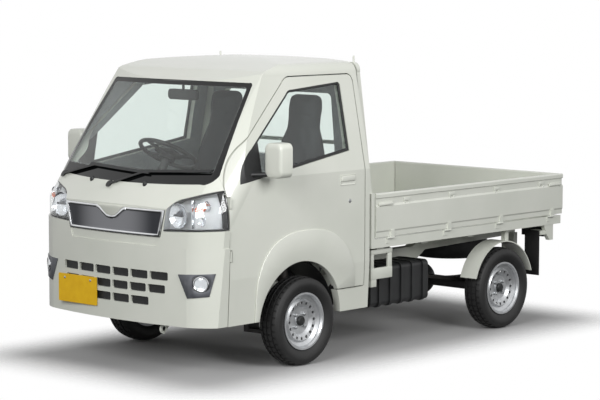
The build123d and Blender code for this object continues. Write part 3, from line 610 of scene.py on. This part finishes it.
def makeFogLamps():
    place, normal = castOn("fog_lamps", (fog["x"], rayFrom["front"], fog["z"]), (0, 1, 0))
    turn = math.degrees(math.atan2(normal.x, -normal.y))
    surround = nodeFaces("front_bumper", fogFront, fog["lift"])
    trimmed(surround, sideCuts(fogCorners, "Y"))
    useModifier(surround, "SOLIDIFY", thickness=fog["thick"], offset=1.0)
    softEdges(surround, fog["edge"], 2)
    settlePair(surround, "fogSurround", greyTrim)
    for name, finish, slot, profile in fogRows:
        piece = onLathe([(0, along, out) for along, out in profile], (0, 1, 0), (0, 0, 0), fog["steps"])
        settlePair(copyTo(piece, place, turn), name, finish, fog["smooth"])
        discard(piece)


# three lens blocks side by side on each lamp's back face
tail = {"x": 0.492, "y": 1.6765, "z": 0.590, "step": 0.058, "size": (0.055, 0.010, 0.078), "edge": 0.004}


def makeTailLamps():
    rows = (("tailClear", whiteLens), ("tailAmber", amberLens), ("tailRed", tailRed))
    for number, (name, finish) in enumerate(rows):
        centre = (tail["x"] + number * tail["step"], tail["y"], tail["z"])
        settlePair(roundedBlock(centre, tail["size"], tail["edge"]), name, finish)


makeHeadlamps()
makeFogLamps()
makeTailLamps()
print("lamps made")


# nose

# dark board behind the lower grille, bent along the bumper: painted shade, a black sheet that makes the
# grille's openings read dark
shadeBoard = {"centreY": 1.2934, "radius": 2.970, "half": 9.2, "low": 0.372, "high": 0.622, "thick": 0.003,
         "steps": 24}
nozzle = {"spots": (("washerNozzleRight", -0.274), ("washerNozzleLeft", 0.180)), "z": 1.083,
          "sunk": 0.002, "size": (0.016, 0.013, 0.020), "facing": 0.93, "rim": 0.0012, "hole": 0.002}
# along the bolt and out from its middle
bolt = {"xs": (-0.393, -0.173), "y": -1.6974, "z": 0.505, "steps": 20,
        "profile": ((0.0, 0.0), (0.0, 0.008), (-0.0016, 0.0075), (-0.0031, 0.004), (-0.0034, 0.0))}


def makeShadeBoard():
    centre = (0, shadeBoard["centreY"], 0)
    y = shadeBoard["centreY"] - shadeBoard["radius"]
    points = [(0, y, shadeBoard["low"]), (0, y, shadeBoard["high"])]
    made = onLathe(points, (0, 0, 1), centre, shadeBoard["steps"], 2 * shadeBoard["half"])
    # the bend starts at the middle, so it is turned by half of itself
    pickFaces(made)
    back = -math.radians(shadeBoard["half"])
    bpy.ops.transform.rotate(value=back, orient_axis="Z", center_override=centre)
    bpy.ops.object.mode_set(mode="OBJECT")
    useModifier(made, "SOLIDIFY", thickness=shadeBoard["thick"], offset=0.0)
    # black sheet standing in for the shade behind the lower grille's openings
    settle(made, "grilleShadeBoard", blackPlastic, "truck")


def makeNozzles():
    for name, x in nozzle["spots"]:
        place, normal = castOn("front_panel", (x, rayFrom["front"], nozzle["z"]), (0, 1, 0))
        bpy.ops.mesh.primitive_uv_sphere_add(segments=20, ring_count=12, radius=1.0,
                                             location=place - nozzle["sunk"] * normal)
        made = bpy.context.object
        made.scale = nozzle["size"]
        applyPlace()
        pickFaces(made, lambda centre, normal: normal.y < -nozzle["facing"])
        bpy.ops.mesh.inset(thickness=nozzle["rim"])
        pull((0, nozzle["hole"], 0))
        bpy.ops.object.mode_set(mode="OBJECT")
        settle(made, name, blackPlastic, "truck")


def makeBolts():
    bolts = []
    y, z = bolt["y"], bolt["z"]
    for x in bolt["xs"]:
        points = [(x, y + along, z + out) for along, out in bolt["profile"]]
        bolts.append(onLathe(points, (0, 1, 0), (x, y, z), bolt["steps"]))
    settle(joined(bolts), "plateBolts", zincPlate, "truck")


grille = {"frameWide": 0.017, "frameProud": 0.006, "facing": 0.7, "edge": 0.002, "backY": -1.684,
          "tongueDeep": 0.0115, "rimDeep": 0.0095, "rimSpread": 1.06}
# the dip in the middle of the top edge: across and height, half of it
dipHalf = [(0.118, 0.957), (0.084, 0.941), (0.064, 0.923), (0.036, 0.904), (0.0, 0.897)]


def dipPlate(corners, deep, name, finish):
    # plate in the front view, pulled forwards by its depth
    plate = lineThrough([(x, grille["backY"], z) for x, z in corners])
    bpy.ops.mesh.edge_face_add()
    pull((0, -deep, 0))
    faceOut()
    softEdges(plate, grille["edge"], 2)
    settle(plate, name, finish, "truck")


def makeGrille():
    # bright frame round the panel, and the nose's tongue that dips into it
    edge = nodeFaces("upper_grille", lambda centre, normal: normal.y < -grille["facing"])
    edgeFrame(edge, grille["frameWide"], grille["frameProud"], grille["edge"])
    settle(edge, "grilleFrame", chromeTrim, "truck")
    dip = dipHalf + [(-x, z) for x, z in reversed(dipHalf[:-1])]
    under = [(x * grille["rimSpread"], z - grille["frameWide"]) for x, z in reversed(dip)]
    dipPlate(dip, grille["tongueDeep"], "grilleTongue", pearlPaint)
    dipPlate(dip + under, grille["rimDeep"], "grilleDipRim", chromeTrim)


# the bumper's face carried up to the lamps, open under the grille
bumperTop = {"outward": (0.55, -0.83), "facing": 0.4, "low": 0.640, "inner": 0.2, "lift": 0.107,
             "corner": (0.395, 0, 0.834), "lampSide": (-0.016, 0, 0.405),
             "grilleSide": (-0.087, 0, 0.0395), "thick": 0.009, "smooth": 12}


def bumperFace(centre, normal):
    across, ahead = bumperTop["outward"]
    outward = Vector((math.copysign(across, centre.x), ahead, 0))
    return normal.dot(outward) > bumperTop["facing"] and abs(normal.z) < bumperTop["facing"]


def makeBumperTop():
    strip = nodeFaces("front_bumper", bumperFace)
    trimmed(strip, (((0, 0, bumperTop["low"]), (0, 0, -1)), ((bumperTop["inner"], 0, 0), (-1, 0, 0))))
    strip.location = (0, 0, bumperTop["lift"])
    choose(strip)
    applyPlace()
    corner = bumperTop["corner"]
    trimmed(strip, ((corner, bumperTop["lampSide"]), (corner, bumperTop["grilleSide"])))
    pickFaces(strip)
    bpy.ops.mesh.remove_doubles(threshold=0.0003)
    bpy.ops.mesh.dissolve_limited(angle_limit=math.radians(0.2))
    bpy.ops.object.mode_set(mode="OBJECT")
    useModifier(strip, "SOLIDIFY", thickness=bumperTop["thick"], offset=-1.0)
    settlePair(strip, "bumperTop", pearlPaint, bumperTop["smooth"])


makeShadeBoard()
makeNozzles()
makeBolts()
makeGrille()
makeBumperTop()
print("nose made")


# mirrors and cab inside

doorBodies = ("door_left", "door_right")
mirror = {
    "place": (0.832, -1.1283, 1.231), "size": (0.1318, 0.1978, 1), "corner": 0.0348, "cornerSteps": 8,
    # how far each ring is pulled forwards, and its share of the one before
    "rings": ((0.081, 1.0), (0.008, 0.965), (0.005, 0.90), (0.002, 0.78)),
    "panePlace": (0.832, -1.1265, 1.231), "paneSize": (0.112, 0.178, 1), "paneCorner": 0.026,
    "paneSteps": 6, "paneThick": 0.003, "smooth": 40,
}


def makeMirrors():
    shell = uprightSheet((0, 0, 0), mirror["size"], mirror["corner"], mirror["cornerSteps"])
    pickFaces(shell)
    for deep, share in mirror["rings"]:
        pull((0, -deep, 0))
        bpy.ops.transform.resize(value=(share, 1, share), center_override=(0, 0, 0))
    faceOut()
    shell.location = mirror["place"]
    settlePair(shell, "mirrorShell", pearlPaint, mirror["smooth"], doorBodies)
    pane = uprightSheet(mirror["panePlace"], mirror["paneSize"], mirror["paneCorner"], mirror["paneSteps"])
    useModifier(pane, "SOLIDIFY", thickness=mirror["paneThick"], offset=0.0)
    settlePair(pane, "mirrorGlass", mirrorSilver, mirror["smooth"], doorBodies)


channel = {"wide": 0.017, "tall": 0.009, "edge": 0.0015, "facing": 0.5}
# raised panel over the wheel, drawn in the side view
arch = {"y": -0.815, "z": 0.40, "half": 0.425, "tall": 0.40, "foot": 0.25, "squareness": 0.82,
        "points": 22, "facing": 0.8, "outFrom": 0.69, "lift": 0.0005, "proud": 0.008, "edge": 0.006}
handle = {"y": -0.455, "z": 1.066, "ring": (0.006, 0.132, 0.062), "ringOut": 0.001, "ringEdge": 0.0028,
          "lip": 0.008, "sunk": 0.0035, "grip": (0.010, 0.118, 0.032), "gripOut": 0.004,
          "gripUp": 0.009, "gripEdge": 0.0045}
# out from the door and out from the lock's middle
lock = {"y": -0.436, "z": 0.940, "steps": 24,
        "profile": ((-0.001, 0.0), (-0.001, 0.012), (0.002, 0.0115), (0.003, 0.008), (0.0025, 0.0))}


def archCorners():
    # anticlockwise
    corners = [(arch["y"] - arch["half"], arch["foot"]), (arch["y"] + arch["half"], arch["foot"])]
    for number in range(arch["points"] + 1):
        angle = math.pi * number / arch["points"]
        along = math.copysign(abs(math.cos(angle)) ** arch["squareness"], math.cos(angle))
        up = math.sin(angle) ** arch["squareness"]
        corners.append((arch["y"] + arch["half"] * along, arch["z"] + arch["tall"] * up))
    return corners


def doorFace(centre, normal):
    return normal.x > arch["facing"] and centre.x > arch["outFrom"]


def doorOut(spot):
    # how far out the left door's skin lies
    place, normal = castOn("door_left", (rayFrom["side"], spot["y"], spot["z"]), (-1, 0, 0))
    return place.x


def makeHandle():
    x, y, z = doorOut(handle), handle["y"], handle["z"]
    ring = roundedBlock((x + handle["ringOut"], y, z), handle["ring"], handle["ringEdge"])
    pickFaces(ring, lambda centre, normal: normal.x > 0.95)
    bpy.ops.mesh.inset(thickness=handle["lip"])
    bpy.ops.transform.translate(value=(-handle["sunk"], 0, 0))
    bpy.ops.object.mode_set(mode="OBJECT")
    gripPlace = (x + handle["gripOut"], y, z + handle["gripUp"])
    return joined([ring, roundedBlock(gripPlace, handle["grip"], handle["gripEdge"])])


def makeLock():
    x, y, z = doorOut(lock), lock["y"], lock["z"]
    points = [(x + along, y, z + out) for along, out in lock["profile"]]
    return onLathe(points, axle, (x, y, z), lock["steps"])


def makeDoorTrim():
    frameStrip = nodeFaces("door_glass_left", lambda centre, normal: normal.x > channel["facing"])
    edgeFrame(frameStrip, channel["wide"], channel["tall"], channel["edge"])
    panel = nodeFaces("door_left", doorFace, arch["lift"])
    trimmed(panel, sideCuts(archCorners(), "X"))
    useModifier(panel, "SOLIDIFY", thickness=arch["proud"], offset=1.0)
    softEdges(panel, arch["edge"])
    settlePair(frameStrip, "windowChannel", blackPlastic, bodies=doorBodies)
    settlePair(panel, "archPanel", pearlPaint, bodies=doorBodies)
    settlePair(makeHandle(), "doorHandle", pearlPaint, bodies=doorBodies)
    settlePair(makeLock(), "doorLock", zincPlate, bodies=doorBodies)


# how squarely a face looks inwards, and where the boards stop
lining = {"facing": 0.35, "backFacing": 0.5, "sideFrom": 0.66, "doorFrom": -1.43, "lift": 0.0006}


def makeLinings():
    # trim boards over the inner faces of the cab
    facing, sideFrom, doorFrom = lining["facing"], lining["sideFrom"], lining["doorFrom"]
    table = (
        ("cab_roof", "roofLining", "truck", lambda c, n: n.z < -facing),
        ("cab_back", "backTrim", "truck", lambda c, n: n.y < -lining["backFacing"]),
        ("cab_side_left", "sideTrimLeft", "truck", lambda c, n: n.x < -facing and c.z > sideFrom),
        ("cab_side_right", "sideTrimRight", "truck", lambda c, n: n.x > facing and c.z > sideFrom),
        ("door_left", "doorTrimLeft", "door_left", lambda c, n: n.x < -facing and c.y > doorFrom),
        ("door_right", "doorTrimRight", "door_right", lambda c, n: n.x > facing and c.y > doorFrom),
    )
    for nodeName, name, body, test in table:
        settle(nodeFaces(nodeName, test, lining["lift"]), name, liningBoard, body)


dashTable = (
    # name, finish, then centre, size, edge and turn
    ("gaugeHood", blackPlastic, (-0.340, -1.275, 1.085), (0.300, 0.150, 0.090), 0.035, (-12, 0, 0)),
    ("gaugeFace", blackPlastic, (-0.340, -1.196, 1.085), (0.240, 0.012, 0.060), 0.005, (-24, 0, 0)),
    ("radioPanel", blackPlastic, (0.0, -1.224, 0.955), (0.200, 0.020, 0.150), 0.008, (-10, 0, 0)),
    ("gloveLid", dashPlastic, (0.330, -1.229, 0.935), (0.380, 0.016, 0.150), 0.008, (-10, 0, 0)),
    ("ventLeft", blackPlastic, (0.520, -1.222, 1.035), (0.110, 0.016, 0.060), 0.012, (-4, 0, 0)),
    ("ventRight", blackPlastic, (-0.545, -1.222, 1.035), (0.080, 0.016, 0.060), 0.012, (-4, 0, 0)),
)
hornPad = ((-0.340, -0.897, 1.188), (0.150, 0.120, 0.030), 0.014, (-30.96, 0, 0))


def makeDash():
    for name, finish, *block in dashTable:
        settle(roundedBlock(*block), name, finish, "truck")
    settle(roundedBlock(*hornPad), "hornPad", blackPlastic, "steering_wheel")


makeMirrors()
makeDoorTrim()
makeLinings()
makeDash()
print("mirrors, trim and dashboard made")


# seats

seat = {"centres": {"left": 0.33, "right": -0.33}, "voxel": 0.012, "pressure": 4.0, "cap": 0.022,
        "frames": 20, "digits": 5, "backEdge": 0.035, "baseY": -0.70, "baseZ": 0.650,
        "base": (0.36, 0.46, 0.018), "baseEdge": 0.004}
# centre, size and edge
cushionBlock = ((0, -0.765, 0.722), (0.420, 0.370, 0.130), 0.045)
# height, middle along the truck, half width and half depth of the back, from its foot up
backRows = ((0.765, -0.500, 0.190, 0.065), (0.95, -0.480, 0.205, 0.062), (1.15, -0.450, 0.200, 0.058),
            (1.27, -0.432, 0.165, 0.054), (1.36, -0.418, 0.128, 0.050), (1.48, -0.402, 0.124, 0.048),
            (1.575, -0.392, 0.108, 0.040))


def makeSeatShape():
    cushion = roundedBlock(*cushionBlock)
    z, y, halfWide, halfDeep = backRows[0]
    bpy.ops.mesh.primitive_plane_add(size=1.0, location=(0, 0, 0))
    back = bpy.context.object
    bpy.ops.object.mode_set(mode="EDIT")
    bpy.ops.mesh.select_all(action="SELECT")
    bpy.ops.transform.resize(value=(2 * halfWide, 2 * halfDeep, 1), center_override=(0, 0, 0))
    bpy.ops.transform.translate(value=(0, y, z))
    for lower, upper in zip(backRows, backRows[1:]):
        pull((0, upper[1] - lower[1], upper[0] - lower[0]))
        share = (upper[2] / lower[2], upper[3] / lower[3], 1)
        bpy.ops.transform.resize(value=share, center_override=(0, upper[1], upper[0]))
    faceOut()
    softEdges(back, seat["backEdge"], 4)
    return joined([cushion, back])


def puff(shape):
    # the padded cover under its own pressure, held near the shape it was cut to
    useModifier(shape, "REMESH", mode="VOXEL", voxel_size=seat["voxel"])
    # the last digits differ from run to run and the cloth would enlarge them, so they are dropped
    for vertex in shape.data.vertices:
        vertex.co = [round(c, seat["digits"]) for c in vertex.co]
    start = [v.co.copy() for v in shape.data.vertices]
    cloth = shape.modifiers.new("cloth", "CLOTH")
    cloth.settings.use_pressure = True
    cloth.settings.uniform_pressure_force = seat["pressure"]
    cloth.settings.effector_weights.gravity = 0.0
    cloth.point_cache.frame_end = seat["frames"]
    for number in range(1, seat["frames"] + 1):
        bpy.context.scene.frame_set(number)
    choose(shape)
    bpy.ops.object.modifier_apply(modifier="cloth")
    bpy.context.scene.frame_set(1)
    for vertex, place in zip(shape.data.vertices, start):
        move = vertex.co - place
        if move.length > seat["cap"]:
            vertex.co = place + move * (seat["cap"] / move.length)


def makeSeats():
    shape = makeSeatShape()
    puff(shape)
    useModifier(shape, "SUBSURF", levels=1)
    for side, x in seat["centres"].items():
        made = copyTo(shape, (x, 0, 0))
        settle(made, "seat" + side.capitalize(), seatCloth, "truck", 180)
        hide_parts("seat_" + side)
        base = roundedBlock((x, seat["baseY"], seat["baseZ"]), seat["base"], seat["baseEdge"])
        settle(base, "seatBase" + side.capitalize(), framePaint, "truck")
    discard(shape)


makeSeats()
print("seats made")


# bed hardware

hook = {"ys": (0.085, 0.523, 0.980, 1.453), "z": 0.903, "x": 0.7245, "radius": 0.020, "bar": 0.0042,
        "openFrom": 0.004, "footZ": 0.011, "foot": (0.006, 0.058, 0.020), "footEdge": 0.002, "smooth": 50}
latch = {
    "ys": (-0.108, 1.607), "z": 0.895,
    # centre, size and edge
    "plate": ((0.7245, 0, 0), (0.006, 0.120, 0.034), 0.002),
    "lever": ((0.7320, -0.012, 0.002), (0.010, 0.128, 0.016), 0.004),
    # across the truck and out from the knob's middle
    "knobY": 0.045, "knobSteps": 20,
    "knob": ((0.7265, 0.0), (0.7265, 0.012), (0.7355, 0.011), (0.7365, 0.0)),
}
rib = {"count": 9, "x": -0.56, "step": 0.14, "y": 0.715, "z": 0.6915, "size": (0.050, 1.80, 0.004),
       "edge": 0.0016}


def makeHook():
    # bent round bar below its foot, at the left gate's recessed band
    bpy.ops.mesh.primitive_torus_add(major_radius=hook["radius"], minor_radius=hook["bar"],
                                     major_segments=24, minor_segments=10,
                                     location=(hook["x"], 0, 0), rotation=(0, math.pi / 2, 0))
    bar = bpy.context.object
    applyPlace()
    pickFaces(bar, lambda centre, normal: centre.z > hook["openFrom"])
    bpy.ops.mesh.delete(type="FACE")
    bpy.ops.object.mode_set(mode="OBJECT")
    foot = roundedBlock((hook["x"], 0, hook["footZ"]), hook["foot"], hook["footEdge"])
    return joined([bar, foot])


def makeLatch():
    # over-centre latch: plate, lever and knob
    points = [(x, latch["knobY"], out) for x, out in latch["knob"]]
    plate = roundedBlock(*latch["plate"])
    lever = roundedBlock(*latch["lever"])
    knob = onLathe(points, axle, (0, latch["knobY"], 0), latch["knobSteps"])
    return joined([plate, lever, knob])


def makeBedHardware():
    oneHook = makeHook()
    oneLatch = makeLatch()
    for side in ("left", "right"):
        flip = side == "right"
        for number, y in enumerate(hook["ys"], 1):
            made = copyTo(oneHook, (0, y, hook["z"]), flip=flip)
            name = f"ropeHook{side.capitalize()}{number}"
            settle(made, name, pearlPaint, "gate_" + side, hook["smooth"])
        for number, y in enumerate(latch["ys"], 1):
            made = copyTo(oneLatch, (0, y, latch["z"]), flip=flip)
            name = f"gateLatch{side.capitalize()}{number}"
            settle(made, name, pearlPaint, "gate_" + side)
    discard(oneHook, oneLatch)
    ribs = []
    for number in range(rib["count"]):
        centre = (rib["x"] + rib["step"] * number, rib["y"], rib["z"])
        ribs.append(roundedBlock(centre, rib["size"], rib["edge"]))
    settle(joined(ribs), "floorRibs", pearlPaint, "truck")


bracketEdge = 0.003
bracketBars = (
    # centre, size
    ((0.681, -0.1065, 0.606), (0.020, 0.197, 0.030)),
    ((0.681, -0.1065, 0.474), (0.020, 0.197, 0.068)),
    ((0.681, -0.190, 0.540), (0.016, 0.026, 0.120)),
    ((0.681, -0.0275, 0.540), (0.016, 0.037, 0.120)),
    ((0.528, -0.175, 0.4215), (0.318, 0.050, 0.057)),
)


def makeBrackets():
    # pressed bracket under the bed's front corner, on its outrigger from the frame
    bracket = joined([roundedBlock(centre, size, bracketEdge) for centre, size in bracketBars])
    settlePair(bracket, "bedBracket", pearlPaint)


makeBedHardware()
makeBrackets()
print("bed hardware made")


# studio

# the floor fades out past the truck's footprint
studio = {"radius": 9.0, "colour": "#B8B8B8", "half": (0.66, 1.60), "fadeFrom": 0.0, "fadeTo": 0.62}
# share of white that the sky gives by direction, from straight down to straight up
skyRamp = ((0.0, 0.02), (0.47, 0.05), (0.58, 0.34), (0.72, 0.48), (1.0, 0.10))
# height of a direction where mirrors start to see white, and where they see it fully
skyline = (-0.22, 0.02)
lampTable = (
    # name, place, target, size, power
    ("overhead", (1.0, -1.5, 7.0), (0, -0.2, 0.5), 5.0, 20.0),
    ("key", (3.0, -7.5, 4.0), (0, -0.8, 0.9), 3.2, 345.0),
    ("side", (7.5, -1.5, 4.0), (0, 0.2, 0.8), 3.2, 325.0),
)


def makeFloor():
    choose()
    bpy.ops.mesh.primitive_circle_add(vertices=96, radius=studio["radius"], fill_type="NGON")
    floor = bpy.context.object
    floor.name = "floor"
    colour = toLinear(studio["colour"])
    finish, tree, shader, place = startFinish("paleFloor", Roughness=0.95, Base_Color=colour)
    split = addNode(tree, "ShaderNodeSeparateXYZ", {0: place})
    beyond = []
    for axis, half in zip("XY", studio["half"]):
        size = addNode(tree, mathKind, {0: split.outputs[axis]}, operation="ABSOLUTE")
        past = addNode(tree, mathKind, {0: size, 1: half}, operation="SUBTRACT")
        past = addNode(tree, mathKind, {0: past, 1: 0.0}, operation="MAXIMUM")
        beyond.append(addNode(tree, mathKind, {0: past, 1: past}, operation="MULTIPLY"))
    away = addNode(tree, mathKind, {0: beyond[0], 1: beyond[1]}, operation="ADD")
    away = addNode(tree, mathKind, {0: away}, operation="SQRT")
    gone = addNode(tree, rangeKind, {"Value": away, "From Min": studio["fadeFrom"],
                                     "From Max": studio["fadeTo"]}, interpolation_type="SMOOTHSTEP")
    clear = addNode(tree, "ShaderNodeBsdfTransparent")
    mix = addNode(tree, "ShaderNodeMixShader", {"Fac": gone, 1: shader.outputs["BSDF"], 2: clear})
    tree.links.new(mix.outputs["Shader"], tree.nodes["Material Output"].inputs["Surface"])
    floor.data.materials.append(finish)


def makeSky():
    # white where it is seen, dim below the horizon where it lights or mirrors
    world = bpy.data.worlds.new("softSky")
    bpy.context.scene.world = world
    world.use_nodes = True
    tree = world.node_tree
    path = addNode(tree, "ShaderNodeLightPath").outputs
    way = addNode(tree, "ShaderNodeTexCoord").outputs["Generated"]
    up = addNode(tree, "ShaderNodeSeparateXYZ", {0: way}).outputs["Z"]
    seen = addNode(tree, mathKind, {0: path["Is Camera Ray"], 1: path["Is Transmission Ray"]},
                   operation="ADD", use_clamp=True)
    high = addNode(tree, rangeKind, {"Value": up, "From Min": skyline[0], "From Max": skyline[1]})
    seen = addNode(tree, mathKind, {0: path["Is Glossy Ray"], 1: high, 2: seen},
                   operation="MULTIPLY_ADD", use_clamp=True)
    level = addNode(tree, rangeKind, {"Value": up, "From Min": -1.0})
    ramp = addNode(tree, rampKind, {"Fac": level})
    points = ramp.color_ramp.elements
    for number, (spot, share) in enumerate(skyRamp):
        point = points[number] if number < 2 else points.new(spot)
        point.position = spot
        point.color = (share, share, share, 1.0)
    power = addNode(tree, "ShaderNodeMix", {"Factor": seen, 6: ramp.outputs["Color"],
                                            7: (1.0, 1.0, 1.0, 1.0)}, data_type="RGBA")
    tree.links.new(power.outputs[2], tree.nodes["Background"].inputs["Color"])


def makeLamps():
    for name, spot, aim, size, power in lampTable:
        bpy.ops.object.light_add(type="AREA", location=spot)
        light = bpy.context.object
        light.name = name
        light.data.size = size
        light.data.energy = power
        light.rotation_euler = (Vector(aim) - Vector(spot)).to_track_quat("-Z", "Y").to_euler()


photoView = {"place": (9.5046, -10.4566, 2.3042), "yaw": 42.51, "pitch": 5.83, "roll": 0.12,
             "lens": 135.7, "sensor": 36.0, "far": 200.0}


def makeCamera():
    yaw, pitch, roll = (math.radians(photoView[k]) for k in ("yaw", "pitch", "roll"))
    level = math.cos(pitch)
    ahead = Vector((-math.sin(yaw) * level, math.cos(yaw) * level, -math.sin(pitch)))
    right = ahead.cross(Vector((0, 0, 1))).normalized()
    up = right.cross(ahead)
    across = math.cos(roll) * right + math.sin(roll) * up
    above = -math.sin(roll) * right + math.cos(roll) * up
    bpy.ops.object.camera_add(location=photoView["place"])
    camera = bpy.context.object
    camera.rotation_euler = Matrix((across, above, -ahead)).transposed().to_euler()
    camera.data.lens = photoView["lens"]
    camera.data.sensor_width = photoView["sensor"]
    camera.data.clip_end = photoView["far"]
    bpy.context.scene.camera = camera


makeFloor()
makeSky()
makeLamps()
makeCamera()
bpy.context.scene.view_settings.view_transform = "Standard"
print("studio and camera set")
